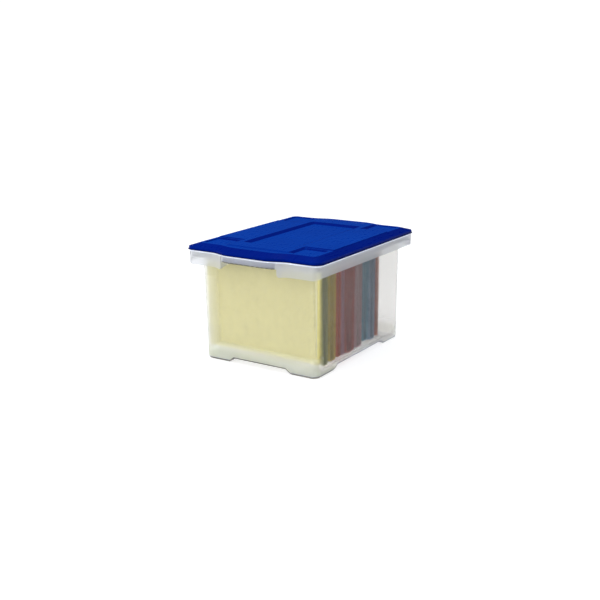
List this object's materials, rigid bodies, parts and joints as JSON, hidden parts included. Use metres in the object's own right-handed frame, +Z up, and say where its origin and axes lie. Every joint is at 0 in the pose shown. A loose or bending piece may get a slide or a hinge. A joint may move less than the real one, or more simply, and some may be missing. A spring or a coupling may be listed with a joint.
{
  "type": "hanging file storage tote",
  "caption": "Translucent plastic tub on four hollow feet with a clip-on lid, grip rims and hanging folders that slide on its side rails.",
  "frame": {"origin": "middle of the footprint, on the floor under the feet", "axes": "+Z up, +Y along the length from the front handle to the back handle, +X across the width"},
  "size_m": [0.362, 0.47, 0.2786],
  "materials": {
    "tub_plastic": "frosted translucent, lightly moulded texture",
    "lid_plastic": "satin, lightly moulded texture",
    "yellow_card": "matt folder card",
    "sage_card": "matt folder card",
    "olive_card": "matt folder card",
    "red_card": "matt folder card",
    "plum_card": "matt folder card",
    "maroon_card": "matt folder card",
    "grey_card": "matt folder card",
    "teal_card": "matt folder card",
    "slate_card": "matt folder card",
    "brick_card": "matt folder card",
    "hanger_steel": "thin rolled strip"
  },
  "bodies": {
    "tub": {"tub": "tub_plastic"},
    "lid": {"lid": "lid_plastic"},
    "folder_yellow": {"folder_yellow_sheet": "yellow_card", "folder_yellow_front_hanger": "hanger_steel", "folder_yellow_back_hanger": "hanger_steel"},
    "folder_sage": {"folder_sage_sheet": "sage_card", "folder_sage_front_hanger": "hanger_steel", "folder_sage_back_hanger": "hanger_steel"},
    "folder_olive": {"folder_olive_sheet": "olive_card", "folder_olive_front_hanger": "hanger_steel", "folder_olive_back_hanger": "hanger_steel"},
    "folder_red": {"folder_red_sheet": "red_card", "folder_red_front_hanger": "hanger_steel", "folder_red_back_hanger": "hanger_steel"},
    "folder_plum": {"folder_plum_sheet": "plum_card", "folder_plum_front_hanger": "hanger_steel", "folder_plum_back_hanger": "hanger_steel"},
    "folder_maroon": {"folder_maroon_sheet": "maroon_card", "folder_maroon_front_hanger": "hanger_steel", "folder_maroon_back_hanger": "hanger_steel"},
    "folder_grey": {"folder_grey_sheet": "grey_card", "folder_grey_front_hanger": "hanger_steel", "folder_grey_back_hanger": "hanger_steel"},
    "folder_teal": {"folder_teal_sheet": "teal_card", "folder_teal_front_hanger": "hanger_steel", "folder_teal_back_hanger": "hanger_steel"},
    "folder_slate": {"folder_slate_sheet": "slate_card", "folder_slate_front_hanger": "hanger_steel", "folder_slate_back_hanger": "hanger_steel"},
    "folder_brick": {"folder_brick_sheet": "brick_card", "folder_brick_front_hanger": "hanger_steel", "folder_brick_back_hanger": "hanger_steel"}
  },
  "joints": [
    {"name": "lid_lift", "type": "slide", "parent": "tub", "child": "lid", "axis": [0, 0, 1], "range_m": [0, 0.15]},
    {"name": "folder_yellow_slide", "type": "slide", "parent": "tub", "child": "folder_yellow", "axis": [0, 1, 0], "range_m": [0, 0.0084]},
    {"name": "folder_sage_slide", "type": "slide", "parent": "folder_yellow", "child": "folder_sage", "axis": [0, 1, 0], "range_m": [0, 0.0084]},
    {"name": "folder_olive_slide", "type": "slide", "parent": "folder_sage", "child": "folder_olive", "axis": [0, 1, 0], "range_m": [0, 0.0084]},
    {"name": "folder_red_slide", "type": "slide", "parent": "folder_olive", "child": "folder_red", "axis": [0, 1, 0], "range_m": [0, 0.0084]},
    {"name": "folder_plum_slide", "type": "slide", "parent": "folder_red", "child": "folder_plum", "axis": [0, 1, 0], "range_m": [0, 0.0084]},
    {"name": "folder_maroon_slide", "type": "slide", "parent": "folder_plum", "child": "folder_maroon", "axis": [0, 1, 0], "range_m": [0, 0.0084]},
    {"name": "folder_grey_slide", "type": "slide", "parent": "folder_maroon", "child": "folder_grey", "axis": [0, 1, 0], "range_m": [0, 0.0084]},
    {"name": "folder_teal_slide", "type": "slide", "parent": "folder_grey", "child": "folder_teal", "axis": [0, 1, 0], "range_m": [0, 0.0084]},
    {"name": "folder_slate_slide", "type": "slide", "parent": "folder_teal", "child": "folder_slate", "axis": [0, 1, 0], "range_m": [0, 0.0084]},
    {"name": "folder_brick_slide", "type": "slide", "parent": "folder_slate", "child": "folder_brick", "axis": [0, 1, 0], "range_m": [0, 0.0084]}
  ]
}
